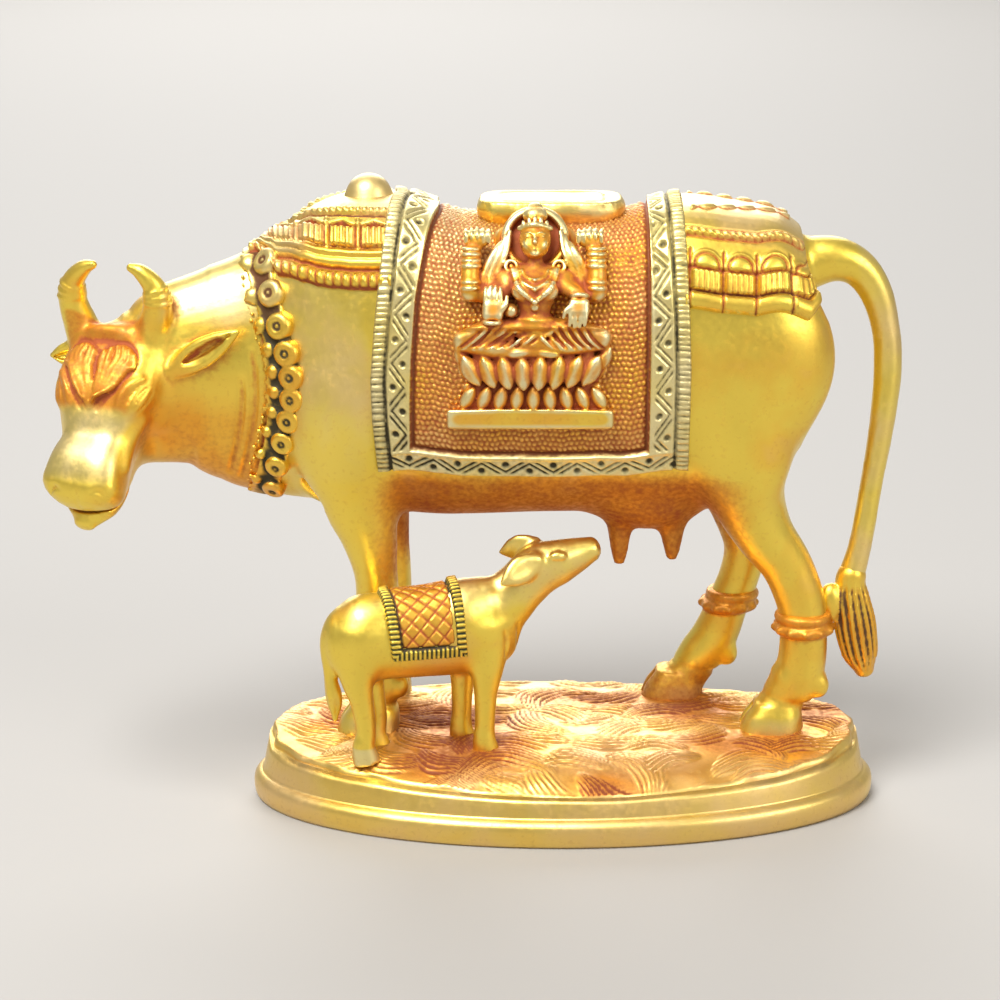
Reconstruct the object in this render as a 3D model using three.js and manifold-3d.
// Cow suckling her calf on an oval base: a small cast brass group with a caparisoned cow.
// Millimetres, +Z up. The cow faces -X and turns her head towards -Y, the side with the calf.
// The origin is the centre of the base's underside.

import * as THREE from 'three';
import { mergeVertices } from 'three/addons/utils/BufferGeometryUtils.js';
import Module from 'manifold-3d';

const wasm = await Module();
wasm.setup();

// Driving dimensions. The cow's middle plane lies a little behind the base's, to leave room for the calf.
const BASE_LENGTH = 133;
const BASE_WIDTH = 67;
const BASE_BAND = 5.5;
const BASE_CROWN = 15.4;
const COW_MIDDLE = 9.5;
const CALF_STANCE = 4.1;
const FOOT = 13.6;
const JOINT_GAP = 0.3;

// How far the saddle cloth, its border and the drapes stand off the hide.
const CLOTH_THICK = 0.9;
const BORDER_THICK = 1.8;
const DRAPE_THICK = 1;

const UP = new THREE.Vector3(0, 0, 1);
const ALONG = new THREE.Vector3(1, 0, 0);
const ACROSS = new THREE.Vector3(0, 1, 0);

const vec = (point) => new THREE.Vector3(...point);
const radians = THREE.MathUtils.degToRad;

// A closed geometry as a solid that can be joined and cut.
function solid(geometry) {
  const bare = geometry.clone();
  bare.deleteAttribute('normal');
  bare.deleteAttribute('uv');
  const merged = mergeVertices(bare, 1e-4);
  const made = new wasm.Manifold(new wasm.Mesh({
    numProp: 3,
    vertProperties: merged.attributes.position.array,
    triVerts: new Uint32Array(merged.index.array),
  }));
  return made;
}

// The solid's surface as a three.js geometry.
function surface(made) {
  const mesh = made.getMesh();
  const geometry = new THREE.BufferGeometry();
  geometry.setAttribute('position', new THREE.BufferAttribute(mesh.vertProperties, 3));
  geometry.setIndex(new THREE.BufferAttribute(mesh.triVerts, 1));
  return geometry;
}

const fuse = (...parts) => parts.flat().reduce((all, part) => all.add(part));

// The solid without the pockets that lofts leave sealed between them.
const filled = (made) => fuse(made.decompose().filter((shell) => shell.volume() > 0));

// Rows of points, each row a closed ring, joined into one closed skin with a pole at either end.
function skin(rings) {
  const sides = rings[0].length;
  const middle = (ring) => ring.reduce((sum, p) => sum.add(p), new THREE.Vector3()).divideScalar(sides);
  const points = [...rings.flat(), middle(rings[0]), middle(rings.at(-1))];
  const faces = [];
  const [firstPole, lastPole] = [points.length - 2, points.length - 1];
  for (let side = 0; side < sides; side += 1) {
    const next = (side + 1) % sides;
    for (let ring = 0; ring < rings.length - 1; ring += 1) {
      const [low, high] = [ring * sides, (ring + 1) * sides];
      faces.push(low + side, low + next, high + next, low + side, high + next, high + side);
    }
    const end = (rings.length - 1) * sides;
    faces.push(firstPole, next, side, lastPole, end + side, end + next);
  }
  const geometry = new THREE.BufferGeometry().setFromPoints(points);
  geometry.setIndex(faces);
  return geometry;
}

// A body of changing oval section along a smooth line. Each station is [x, y, z, wide, over, under]:
// wide is the half width along the reference direction, over and under the two half heights.
// The ends are rounded over the lengths in caps. The two shares in square fill out the corners of
// the section's upper and lower half, and lobes is how many ridges run along it and how deep.
// Without a number of steps there is one ring at every station.
function loft(stations, {
  sides, steps = stations.length - 1, reference = ACROSS, caps = [1, 1], grow = 0, square = [0, 0],
  domes = 1, lobes = [1, 0],
}) {
  const line = new THREE.CatmullRomCurve3(stations.map(([x, y, z]) => new THREE.Vector3(x, y, z)));
  const sizes = new THREE.CatmullRomCurve3(stations.map(([, , , wide, over, under = over]) =>
    new THREE.Vector3(wide, over, under)));
  const ring = (t, shift, share) => {
    const tangent = line.getTangent(t);
    const lift = new THREE.Vector3().crossVectors(tangent, reference).normalize();
    const wide = new THREE.Vector3().crossVectors(lift, tangent).normalize();
    const size = sizes.getPoint(t);
    const at = line.getPoint(t).addScaledVector(tangent, shift);
    return Array.from({ length: sides }, (_, side) => {
      const turn = (side + 0.5) / sides * 2 * Math.PI;
      const rise = Math.sin(turn);
      const corner = square[rise > 0 ? 0 : 1] * Math.sin(2 * turn) ** 2;
      const fill = share * (1 + corner + lobes[1] * Math.cos(lobes[0] * turn));
      return at.clone()
        .addScaledVector(wide, Math.cos(turn) * (size.x + grow) * fill)
        .addScaledVector(lift, rise * ((rise > 0 ? size.y : size.z) + grow) * fill);
    });
  };
  const capRings = (t, length, sign) => Array.from({ length: domes }, (_, k) => {
    const turn = (k + 1) / (domes + 1) * Math.PI / 2;
    return ring(t, sign * length * Math.sin(turn), Math.cos(turn));
  });
  const rings = Array.from({ length: steps + 1 }, (_, k) => ring(k / steps, 0, 1));
  return solid(skin([...capRings(0, caps[0], -1).reverse(), ...rings, ...capRings(1, caps[1], 1)]));
}

// An ellipsoid at a place, with its own axes turned by an Euler angle in degrees.
function ball([x, y, z], [rx, ry, rz], { turn = [0, 0, 0], sides = 7, rows = 5 } = {}) {
  const geometry = new THREE.SphereGeometry(1, sides, rows);
  const pose = new THREE.Matrix4().compose(
    new THREE.Vector3(x, y, z),
    new THREE.Quaternion().setFromEuler(new THREE.Euler(...turn.map(radians))),
    new THREE.Vector3(rx, ry, rz),
  );
  return solid(geometry.applyMatrix4(pose));
}

function block([x0, y0, z0], [x1, y1, z1]) {
  const geometry = new THREE.BoxGeometry(x1 - x0, y1 - y0, z1 - z0);
  return solid(geometry.translate((x0 + x1) / 2, (y0 + y1) / 2, (z0 + z1) / 2));
}

// Moves a geometry modelled with +Z outwards to a point, its Z axis along the outward direction.
function seat(geometry, point, outward, upright = UP) {
  const side = new THREE.Vector3().crossVectors(upright, outward).normalize();
  const top = new THREE.Vector3().crossVectors(outward, side);
  return geometry.applyMatrix4(new THREE.Matrix4().makeBasis(side, top, outward).setPosition(point));
}

// The nearest point and outward normal of a solid's surface, seen from a point along a direction.
function touch(made, from, direction) {
  const mesh = new THREE.Mesh(surface(made), new THREE.MeshBasicMaterial({ side: THREE.DoubleSide }));
  const [hit] = new THREE.Raycaster(from, direction.clone().normalize()).intersectObject(mesh);
  return { point: hit.point, normal: hit.face.normal.clone() };
}

// The oval base.

// The height of the rim: lowest at the calf's side, with a slight swell all round.
function rimHeight(turn) {
  const [middle, tilt, ends] = [12.2, 2.1, 2.8];
  const swell = 0.4 * Math.sin(3 * turn + 1) + 0.3 * Math.sin(5 * turn);
  return middle + tilt * Math.sin(turn) + ends * Math.cos(turn) ** 2 + swell;
}

function baseSolid() {
  const sides = 36;
  const [halfLength, halfWidth] = [BASE_LENGTH / 2, BASE_WIDTH / 2];
  const oval = (inset, share, height) => Array.from({ length: sides }, (_, side) => {
    const turn = side / sides * 2 * Math.PI;
    return new THREE.Vector3(
      (halfLength - inset) * share * Math.cos(turn),
      (halfWidth - inset) * share * Math.sin(turn),
      height(turn));
  });
  // Each profile point is the inset from the outermost edge and the height up the band.
  const band = [[0.9, 0], [0, 1.5], [0, BASE_BAND - 1.2], [1.3, BASE_BAND], [2.2, BASE_BAND + 0.6]]
    .map(([inset, height]) => oval(inset, 1, () => height));
  const rimInset = 5;
  const slope = [oval(4, 1, (turn) => rimHeight(turn) - 1.2)];
  const top = [1, 0.84, 0.6, 0.3].map((share) =>
    oval(rimInset, share, (turn) => BASE_CROWN + (rimHeight(turn) - BASE_CROWN) * share ** 4));
  return solid(skin([...band, ...slope, ...top]));
}

// The cow's trunk, neck and legs.

// Trunk stations: x, the middle height, the half width, and how far it reaches up and down from there.
const TRUNK = [
  [-58, 92, 15, 26, 27], [-52, 92.5, 18, 32, 29], [-43, 93, 20.5, 34.4, 31.5], [-33, 93, 21.6, 34.2, 32.4],
  [-21, 92.5, 22, 30.8, 32.4], [-5, 92, 22, 30.5, 31.4], [12, 92, 22, 31.6, 31.2], [23, 92, 21.8, 34.6, 31],
  [36, 91, 20.8, 34.5, 27], [44, 90, 19, 34, 20], [48.5, 89, 16, 32, 15],
];

function trunk(grow = 0) {
  const stations = TRUNK.map(([x, z, wide, over, under]) => [x, COW_MIDDLE, z, wide, over, under]);
  return loft(stations, { sides: 18, caps: [5, 3], grow, square: [0.11, 0.03], domes: 2 });
}

const NECK = [
  [-49, 9.5, 93, 16, 29, 29], [-58, 9, 91.5, 14.5, 27.6, 28], [-66, 8, 91.3, 12.4, 26, 25.2],
  [-73, 7, 91.3, 11, 23.4, 22.4], [-80, 5.5, 91, 10, 19.8, 19.4], [-86, 4, 89.5, 9, 15.5, 16],
];

// The head's own frame: it starts inside the poll and runs down to the muzzle.
const POLL = vec([-91, 5, 97.5]);
const MUZZLE = vec([-97.6, -12.5, 71]);
const FACING = MUZZLE.clone().sub(POLL).normalize();
const CHEEK = new THREE.Vector3(-FACING.y, FACING.x, 0).normalize();
const BROW = new THREE.Vector3().crossVectors(FACING, CHEEK).normalize();
const HEAD_LENGTH = MUZZLE.distanceTo(POLL);

// A point of the head: how far towards the cheek on the calf's side, out of the forehead, and down.
function headPoint(cheek, brow, down) {
  return POLL.clone().addScaledVector(CHEEK, cheek).addScaledVector(BROW, brow)
    .addScaledVector(FACING, down);
}

function headLoft(rows, options) {
  const stations = rows.map(([cheek, brow, down, wide, over, under]) =>
    [...headPoint(cheek, brow, down).toArray(), wide, over, under]);
  return loft(stations, { reference: CHEEK, ...options });
}

function cowHead() {
  const skull = headLoft([
    [0, 0, 0, 9, 6.4, 7], [0, 0, 5, 11, 8, 8.5], [0, 0, 11, 11.6, 8.2, 9.5], [0, -0.3, 17, 9, 7, 9],
    [0, -0.6, 22.5, 7.4, 6, 7.5], [0, -0.3, 28, 8.6, 6.5, 7], [0, -0.6, HEAD_LENGTH, 9.6, 6, 6.4],
  ], { sides: 12, caps: [3.5, 4], domes: 2 });
  const jaw = headLoft([
    [0, -5.5, 12, 6, 5, 6], [0, -6.5, 22, 5.6, 4, 4.5], [0, -6, 31, 5.6, 3.5, 3.5],
    [0, -4.4, HEAD_LENGTH + 4.5, 4.3, 2.6, 2.6],
  ], { sides: 8, caps: [3, 2.2] });
  const mouth = headLoft([
    [0, -7.8, HEAD_LENGTH - 3.5, 11, 0.5], [0, -2.6, HEAD_LENGTH + 4.4, 11, 0.5],
  ], { sides: 4, steps: 1, caps: [0.3, 0.3] });
  const sides = [-1, 1];
  const eyes = sides.map((side) =>
    ball(headPoint(side * 8.2, 4.6, 12.6).toArray(), [3.5, 2.8, 2.5], { turn: [-30, 0, 0], rows: 4 }));
  const nostrils = sides.map((side) =>
    ball(headPoint(side * 4.3, 4, HEAD_LENGTH + 1.6).toArray(), [1.6, 1.4, 1], { sides: 5, rows: 4 }));
  // The tasselled frontlet: strands that fall from between the horns to a point between the eyes.
  const frontlet = [-2.4, 0, 2.4].map((strand) => headLoft([
    [strand * 2.1, 6 - Math.abs(strand) * 0.5, -0.5, 2.2, 1.3],
    [strand * 1.8, 8.5 - Math.abs(strand) * 0.45, 6, 2, 1.2],
    [strand * 0.5 - 0.8, 8.2, 15.5 - Math.abs(strand) * 0.8, 0.8, 1],
  ], { sides: 5, caps: [0.6, 0.8] }));
  return fuse(skull, jaw, eyes).subtract(fuse(mouth, nostrils)).add(fuse(frontlet));
}

// Short crescent horns with their tips turned in, and two rings at mid height.
function horns() {
  const rootX = -92.4;
  // Each station is how far out, how far forward, the height and the thickness.
  const stations = [
    [7.2, -3, 97, 3.9], [8.6, -2.2, 102, 3.5], [9.3, -1.6, 104.6, 3.2], [9.6, -1.4, 105.4, 3.7],
    [9.8, -1.2, 106.4, 3], [10, -1, 107.6, 3.5], [10, -0.8, 108.4, 2.8], [9.2, -0.2, 111.5, 2.3],
    [6.4, 0.7, 114.4, 1.6], [4.3, 1.2, 115.2, 0.9],
  ];
  return [-1, 1].map((side) => loft(stations.map(([cheek, forward, height, thick]) => {
    const at = new THREE.Vector3(rootX, -forward, height).addScaledVector(CHEEK, side * cheek);
    return [...at.toArray(), thick, thick];
  }), { sides: 8, caps: [1, 0.8] }));
}

// A leaf-shaped ear along a line of two points, hollowed on its face.
function ear(root, tip, [wide, thick], face) {
  const along = tip.clone().sub(root);
  const reference = new THREE.Vector3().crossVectors(along, face).normalize();
  const at = (share) => root.clone().addScaledVector(along, share).toArray();
  const leaf = loft([
    [...at(0), wide * 0.55, thick], [...at(0.35), wide, thick], [...at(0.7), wide * 0.85, thick * 0.9],
    [...at(1), wide * 0.25, thick * 0.5],
  ], { sides: 6, reference, caps: [0.8, 0.8] });
  const hollowAt = new THREE.Vector3(...at(0.5)).addScaledVector(face, thick);
  const hollow = loft([
    [...hollowAt.clone().addScaledVector(along, -0.25).toArray(), wide * 0.35, thick * 0.7],
    [...hollowAt.clone().addScaledVector(along, 0.25).toArray(), wide * 0.3, thick * 0.6],
  ], { sides: 5, steps: 1, reference, caps: [1.2, 1.2] });
  return leaf.subtract(hollow);
}

// Legs run from the trunk down to the foot. Each station is x, how far out from the middle plane,
// z, the half width, and how far it reaches forwards and back.
const HIND_NEAR = [
  [36, 7, 94, 11, 14, 13], [37, 10, 80, 10.5, 11, 10], [38, 11, 68, 8.8, 8.5, 8], [42, 11, 58.5, 6.4, 6.4, 6.2],
  [47, 10.5, 51, 5.2, 5.6, 5.2], [50.2, 10.5, 43.5, 4.9, 5.2, 5.2], [50.9, 10.5, 41, 4.8, 5.1, 5.1],
  [51, 10.5, 40.2, 5.9, 6.1, 6.1], [51, 10.5, 36.4, 5.9, 6.1, 6.1], [51, 10.5, 35.6, 4.7, 5, 5],
  [50.8, 10.5, 29, 4.9, 5.1, 5.3], [49.4, 10.5, 25, 4.9, 5.2, 5.8], [46.8, 10.5, 21.5, 4.4, 4.8, 4.6],
  [45.8, 10.5, 18.5, 4.9, 5.5, 5.2], [45.3, 10.5, FOOT, 5.3, 6.4, 6],
];
const HIND_FAR = [
  [35, 7, 94, 11, 14, 13], [34, 10, 80, 10.5, 11, 12], [35, 11, 68, 8.6, 8, 9], [38.2, 11, 58, 6.2, 5.8, 6.2],
  [40, 10.5, 49, 4.7, 4.4, 4.8], [38.6, 10.5, 42, 4.5, 4.3, 4.5], [37.7, 10.5, 39.4, 4.5, 4.4, 4.5],
  [37.4, 10.5, 38.6, 5.4, 5.3, 5.3], [36, 10.5, 35, 5.4, 5.3, 5.3], [35.6, 10.5, 34.2, 4.5, 4.6, 4.6],
  [33.6, 10.5, 28, 4.7, 4.6, 5.4], [30.4, 10.5, 24, 4.6, 4.8, 5], [27.8, 10.5, 20.5, 4.4, 4.8, 4.4],
  [26, 10.5, 17.5, 4.8, 5.2, 5], [25, 10.5, FOOT, 5.1, 5.8, 5.8],
];
const FORE = [
  [-45, 6, 90, 10, 12, 12], [-44.5, 9.5, 76, 9, 9, 10], [-43, 10.5, 66, 7, 8, 8], [-40.8, 10.5, 57, 5.2, 6, 5.8],
  [-39.4, 10.5, 48, 4.4, 4.5, 4.5], [-39.3, 10.5, 38, 4.7, 4.7, 4.7], [-39.3, 10.5, 33.6, 4.3, 4.4, 4.4],
  [-39.3, 10.5, 32.8, 5.2, 5.3, 5.3], [-39.3, 10.5, 29.6, 5.2, 5.3, 5.3], [-39.3, 10.5, 28.8, 4.2, 4.3, 4.3],
  [-39.5, 10.5, 24, 4.7, 4.8, 5], [-40, 10.5, 20.5, 4.3, 4.6, 4.4], [-40.6, 10.5, FOOT, 5, 5.9, 5.6],
];

// A cow's leg with its anklet and its cloven hoof.
function leg(stations, side) {
  const placed = stations.map(([x, out, ...rest]) => [x, COW_MIDDLE + side * out, ...rest]);
  const limb = loft(placed, { sides: 8, caps: [3, 0.3] });
  const [x, y, z, wide, toe] = placed.at(-1);
  const cleft = block([x - 2 * toe, y - wide * 0.13, z - 2], [x - toe * 0.5, y + wide * 0.13, z + 6.5]);
  return limb.subtract(cleft);
}

function cowLegs() {
  const farFore = FORE.map(([x, ...rest]) => [x + 1.4, ...rest]);
  return [leg(HIND_NEAR, -1), leg(HIND_FAR, 1), leg(FORE, -1), leg(farFore, 1)];
}

const TAIL = [
  [48, 9.5, 113, 5, 6], [56.5, 9.5, 114.6, 4.6, 4.8], [61.5, 9.4, 112.8, 3.9, 4], [65.2, 9, 108, 3.3, 3.5],
  [67.6, 8.4, 100, 3, 3], [68.2, 7.6, 92, 2.9, 3], [67.2, 6.2, 80.3, 2.7, 2.7], [65.1, 4.6, 67, 2.4, 2.4],
  [62.9, 3, 53.8, 2.5, 2.5], [60.8, 2.4, 46, 2.9, 3],
];

// The tail and its ridged tuft, which leans on the hock.
function tail() {
  const tuft = loft([
    [60.9, 2.4, 47, 2.8, 2.8], [61.4, 2.4, 43, 3.7, 3.7], [62.4, 2.5, 36, 4, 4], [63.6, 2.6, 30, 3, 3],
    [65, 2.7, 24.6, 0.7, 0.7],
  ], { sides: 14, caps: [0.8, 0.6], lobes: [7, 0.1] });
  return [
    loft(TAIL, { sides: 8, steps: 11, caps: [1, 1] }), tuft,
    ball([57.4, 1, 44.4], [3.4, 2.4, 2.6], { rows: 4 }),
  ];
}

function udder() {
  const bag = ball([18, COW_MIDDLE, 64], [12, 11, 7], { sides: 9, rows: 6 });
  const teats = [[12, 49.4], [23.2, 50.4]].flatMap(([x, low]) => [-4, 4].map((out) => loft([
    [x, COW_MIDDLE + out, 61, 3, 3.1], [x, COW_MIDDLE + out, 56, 2.4, 2.5],
    [x, COW_MIDDLE + out, low + 1.6, 1.6, 1.7],
  ], { sides: 6, steps: 2, caps: [1, 1.6] })));
  return [bag, ...teats];
}

// The cow's trappings.

// A wide slab across the cow with the outline of a list of x and z, and holes of the same kind.
function slab(outline, ...holes) {
  const path = (corners) => corners.map(([x, z]) => new THREE.Vector2(x, z));
  const shape = new THREE.Shape(path(outline));
  shape.holes = holes.map((corners) => new THREE.Path(path(corners)));
  const deep = 120;
  const plate = new THREE.ExtrudeGeometry(shape, { depth: deep, bevelEnabled: false });
  return solid(plate.rotateX(Math.PI / 2).translate(0, deep / 2, 0));
}

const CLOTH_EDGE = [
  [-35.8, 75.3], [26, 75.6], [26.3, 90], [26, 110], [27, 150], [-22, 150], [-31, 122.5], [-35.2, 113.3],
  [-37.8, 100.3], [-38.8, 89.9], [-37.3, 81.5],
];
const CLOTH_PANEL = [
  [-31, 81.4], [17.4, 81.6], [18, 100], [18.3, 140], [-17, 140], [-24, 122], [-28, 112], [-30.2, 99], [-31, 89],
];

// The cloth over the back, with a raised border round its panel.
function saddleCloth() {
  return [
    trunk(CLOTH_THICK).intersect(slab(CLOTH_EDGE)),
    trunk(BORDER_THICK).intersect(slab(CLOTH_EDGE, CLOTH_PANEL)),
  ];
}

// The flat pad on the spine, with rounded corners and a bevelled rim.
function saddlePad() {
  const [length, width, corner, top] = [28.5, 15, 4, 127.8];
  const [x, y] = [-length / 2, -width / 2];
  const outline = new THREE.Shape();
  outline.moveTo(x + corner, y);
  outline.lineTo(-x - corner, y);
  outline.quadraticCurveTo(-x, y, -x, y + corner);
  outline.lineTo(-x, -y - corner);
  outline.quadraticCurveTo(-x, -y, -x - corner, -y);
  outline.lineTo(x + corner, -y);
  outline.quadraticCurveTo(x, -y, x, -y - corner);
  outline.lineTo(x, y + corner);
  outline.quadraticCurveTo(x, y, x + corner, y);
  const pad = new THREE.ExtrudeGeometry(outline, {
    depth: 8, bevelSize: 1.4, bevelThickness: 1.2, bevelSegments: 1, curveSegments: 2,
  });
  return solid(pad.translate(-2.5, COW_MIDDLE, top - 9.2));
}

const WITHERS_DRAPE = [
  [-65, 118], [-62, 116.8], [-53.2, 113], [-45, 111.5], [-33, 111.8], [-26, 140], [-65, 140],
];
const RUMP_DRAPE = [[24, 107.6], [40, 106], [53.8, 103.5], [58, 140], [24, 140]];

// The drapes over the withers and the rump, each with its row of blocks or tassels on both sides.
function drapes(hide) {
  const rows = [
    { first: -54, pitch: 5.2, count: 4, from: 122, drop: -0.3, tall: 4.6, wide: 4.2 },
    { first: 29, pitch: 5.7, count: 5, from: 112.6, drop: 0.6, tall: 8.4, wide: 4.9 },
  ];
  const panels = [-1, 1].flatMap((side) => rows.flatMap(({ first, pitch, count, from, drop, tall, wide }) =>
    Array.from({ length: count }, (_, k) => {
      const aim = new THREE.Vector3(0, -side, 0);
      const start = new THREE.Vector3(first + k * pitch, side * 80, from - k * drop);
      const { point, normal } = touch(hide, start, aim);
      return solid(seat(new THREE.BoxGeometry(wide, tall, 3.2), point, normal));
    })));
  const knob = ball([-40.2, COW_MIDDLE, 128], [4.7, 4.7, 4.8], { sides: 10, rows: 7 });
  return [
    trunk(DRAPE_THICK).intersect(fuse(slab(WITHERS_DRAPE), slab(RUMP_DRAPE))), ...panels, knob,
  ];
}

// A garland of dimpled discs round the neck, with a cord of small beads in front of it.
function garland(hide) {
  const discs = 9;
  const pieces = [];
  const disc = () => new THREE.LatheGeometry([
    [0, -2], [2.7, -2], [2.7, 0.9], [1.5, 1.7], [0, 0.7],
  ].map(([r, z]) => new THREE.Vector2(r, z)), 7).rotateX(Math.PI / 2);
  for (const side of [-1, 1]) {
    for (let k = 0; k < discs; k += 1) {
      const turn = radians(68 - k * 17);
      const [x, z] = [-55.2 - 6 * Math.sin(turn) ** 2, 91 + 26 * Math.sin(turn)];
      const aim = new THREE.Vector3(0, -side * Math.cos(turn), -Math.sin(turn));
      const from = new THREE.Vector3(x, COW_MIDDLE, z).addScaledVector(aim, -60);
      const { point, normal } = touch(hide, from.setZ(91 + 60 * Math.sin(turn)), aim);
      pieces.push(solid(seat(disc(), point, normal)));
      const bead = touch(hide, from.setX(x - 5), aim);
      pieces.push(ball(bead.point.toArray(), [1.7, 1.5, 1.7], { sides: 5, rows: 3 }));
    }
  }
  return pieces;
}

// The enthroned figure in relief on the cloth. Its places are x and z on an upright plane at the
// cloth's front, seen from slightly above; depths are out of the cloth.
function reliefFigure(cloth) {
  const [middle, plane] = [-5.6, -16];
  const aim = ACROSS.clone().applyAxisAngle(ALONG, radians(-12));
  const lay = (x, z, out) => {
    const from = new THREE.Vector3(x, plane, z).addScaledVector(aim, -40);
    return touch(cloth, from, aim).point.addScaledVector(aim, -out).toArray();
  };
  const limb = (points, thick, sides = 5) => loft(
    points.map(([x, z, out = 0.8]) => [...lay(middle + x, z, out), thick, thick]),
    { sides, caps: [thick * 0.7, thick * 0.7], reference: vec([0.7, 1, 0.2]) });
  const lump = (x, z, out, size, rows = 4) => ball(lay(middle + x, z, out), size, { sides: rows + 3, rows });
  const petals = (count, span, z, [wide, tall], out) => Array.from({ length: count }, (_, k) => {
    const share = k / (count - 1) - 0.5;
    const size = [wide, 1.8, tall];
    return ball(lay(middle + share * span, z, out), size, { turn: [0, share * 50, 0], sides: 5, rows: 3 });
  });
  return [
    limb([[-16.5, 86.6, 0.2], [0, 86.6, 0.4], [15.5, 86.6, 0.2]], 2, 4),
    limb([[-11, 94, 0], [0, 94, 0.2], [11, 94, 0]], 2.8),
    ...petals(7, 25, 91.2, [1.8, 2.2], 0.6), ...petals(7, 24, 97, [2, 3.4], 1),
    limb([[6, 105, 0.8], [-8, 104, 1.4], [-14.5, 102.6, 0.8]], 2.6),
    limb([[-6, 105, 0.8], [8, 104, 1], [13.5, 102.6, 0.8]], 2.6),
    lump(0, 109.6, 1.4, [4.6, 3, 6.4], 5), lump(0, 115, 1.4, [6.4, 2.6, 3.2]),
    lump(0, 121.8, 2.4, [3.7, 3.2, 4.2], 5), lump(0, 126.4, 1.6, [3, 2.8, 2.8]),
    ...[-1, 1].flatMap((arm) => [
      limb([[arm * 5, 115, 0.8], [arm * 10.4, 112, 1], [arm * 11.8, 121, 0.8]], 1.7),
      lump(arm * 11.6, 124, 0.6, [2.4, 1.6, 1.8]),
      limb([[arm * 5.5, 114, 1.4], [arm * 9, 109.6, 2]], 1.5),
      lump(arm * 8.5, 110.2, 2, [2.2, 1.6, 2.8]),
    ]),
  ];
}

function cowSolid() {
  const hide = trunk();
  const neck = loft(NECK, { sides: 14, caps: [2, 6] });
  const forequarter = hide.add(neck);
  const cloth = saddleCloth();
  const saddle = fuse(cloth);
  return fuse(
    forequarter, cowHead(), horns(), cowLegs(), udder(), tail(), cloth,
    ear(vec([-80, -4, 94]), vec([-66, -6.5, 100.2]), [3.4, 1.5], vec([0, -1, 0.1]).normalize()),
    ear(vec([-99, 5, 95.6]), vec([-107.2, 7, 94.6]), [2.8, 1.4], vec([-0.3, -1, 0]).normalize()),
    saddlePad(), drapes(hide), garland(forequarter), reliefFigure(saddle),
  );
}

// The calf. Its own frame starts over the hind feet and runs forwards along the spine.

const CALF_AT = [-42, -14.7];
const CALF_TURN = 11.3;
const CALF_TRUNK = [
  [-5, 45, 32.5, 5], [-1, 47.6, 31, 6.3], [5, 49, 30.4, 7], [13, 49.4, 30.4, 7], [20, 50.4, 30.4, 6.8],
  [26, 50.8, 31.4, 6],
];

function calfTrunk(grow = 0) {
  const stations = CALF_TRUNK.map(([x, top, bottom, wide]) =>
    [x, 0, (top + bottom) / 2, wide, (top - bottom) / 2]);
  return loft(stations, { sides: 11, caps: [3, 3], grow });
}

function calfLeg([x, bend, side]) {
  const y = side * CALF_STANCE;
  return loft([
    [x, y * 0.8, 41, 3, 4.6], [x + bend, y, 33, 2.8, 3.6], [x + bend * 0.3, y, 26.5, 2.2, 2.4],
    [x - bend * 0.2, y, 20, 2, 2.1], [x - 0.2, y, 17, 2.3, 2.5], [x + 0.4, y, FOOT, 2.6, 3],
  ], { sides: 6, caps: [2, 0.4] });
}

function calfSolid() {
  const neck = loft([
    [22, 0, 42, 5.6, 7.8, 8.6], [29.5, 0, 44.8, 4.8, 6.6, 6.6], [34, 0, 48.8, 4.2, 5.6, 5.6],
    [37.5, 0, 52.4, 4.4, 5.2, 5.2], [42, 0, 54, 4.2, 4.3, 4.6], [46.5, 0, 55.3, 3.1, 3.2, 3.4],
    [49, 0, 56, 2.7, 2.5, 2.7],
  ], { sides: 9, caps: [3, 1.8] });
  const sides = [-1, 1];
  const ears = sides.map((side) => ear(
    vec([36, side * 3.6, 55]), vec([30.6, side * 6.4, 54]), [2.9, 0.9], vec([0.4, side, 0.2]).normalize()));
  const eyes = sides.map((side) => ball([41, side * 3.8, 56], [1.5, 0.8, 1], { sides: 6, rows: 4 }));
  const legs = [[0, -1.4, -1], [3.4, -1.4, 1], [25.4, 0.4, -1], [21.8, 0.4, 1]].map(calfLeg);
  const rope = loft([
    [-4, 0, 44.5, 1.6, 1.6], [-8, -0.5, 40, 1.4, 1.4], [-8, -1, 31, 1.3, 1.3], [-7.2, -1.4, 25, 1.7, 1.7],
    [-7.6, -1.4, 20.5, 0.7, 0.7],
  ], { sides: 5, caps: [0.5, 0.6] });
  const [rear, front, hem, edge] = [5.6, 22.4, 36.4, 2.4];
  const outline = [[rear, hem], [front, hem], [front + 0.6, 60], [rear + 0.6, 60]];
  const inside = [
    [rear + edge, hem + edge], [front - edge, hem + edge], [front + 0.6 - edge, 58], [rear + 0.6 + edge, 58],
  ];
  const blanket = [
    calfTrunk(0.5).intersect(slab(outline)), calfTrunk(1).intersect(slab(outline, inside)),
  ];
  return fuse(calfTrunk(), neck, ears, eyes, legs, rope, blanket)
    .rotate([0, 0, CALF_TURN]).translate([...CALF_AT, 0]);
}

// The assembly: the cow and the calf are brazed to the base, with a thin joint under each foot.

const BRASS = [0.86, 0.66, 0.26];

function piece(name, made, tint) {
  const material = new THREE.MeshStandardMaterial({
    color: new THREE.Color(...BRASS).multiplyScalar(tint), metalness: 1, roughness: 0.35,
  });
  const mesh = new THREE.Mesh(surface(made), material);
  mesh.name = name;
  return mesh;
}

const base = baseSolid();
const bedding = base.translate([0, 0, JOINT_GAP]);
const group = new THREE.Group();
group.add(
  piece('base', base, 0.95),
  piece('cow', filled(cowSolid().subtract(bedding)), 1),
  piece('calf', filled(calfSolid().subtract(bedding)), 1),
);

export default group;
